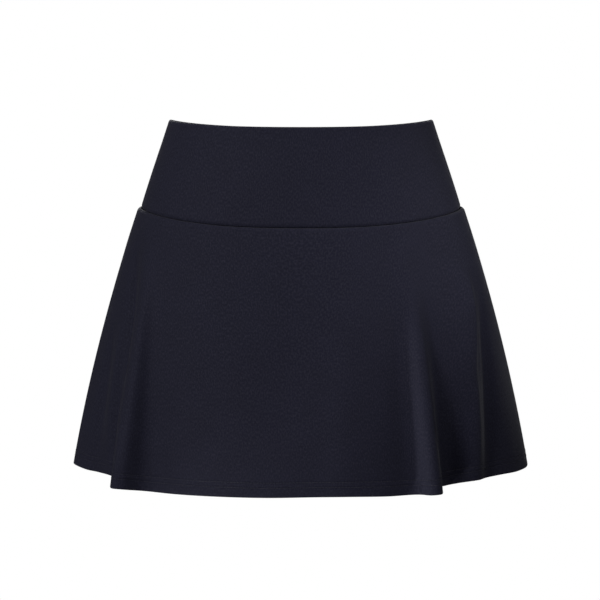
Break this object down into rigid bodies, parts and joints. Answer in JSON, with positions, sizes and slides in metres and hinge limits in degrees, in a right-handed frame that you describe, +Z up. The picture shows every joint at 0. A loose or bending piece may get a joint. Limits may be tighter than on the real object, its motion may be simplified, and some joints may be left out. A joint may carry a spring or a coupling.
{
  "type": "tennis skort",
  "caption": "High-rise pull-on tennis skort in plain knit: wide curved waistband, flared skirt with a deep flute at each side of its front, and fitted inner shorts.",
  "frame": {"origin": "centre of the waist opening at the height of the top edge at the sides, where the wearer's waist holds the garment", "axes": "+Z up; the front looks along -Y; +X is to the right when the front is looked at, and the hem is widest along X"},
  "size_m": [0.461, 0.3155, 0.3488],
  "materials": {
    "waistband_knit": "matte",
    "skirt_knit": "matte",
    "shorts_knit": "matte"
  },
  "bodies": {
    "root": {"waistband_front": "waistband_knit", "waistband_back": "waistband_knit", "skirt_front": "skirt_knit", "skirt_back": "skirt_knit", "shorts_right": "shorts_knit", "shorts_left": "shorts_knit"}
  },
  "joints": []
}
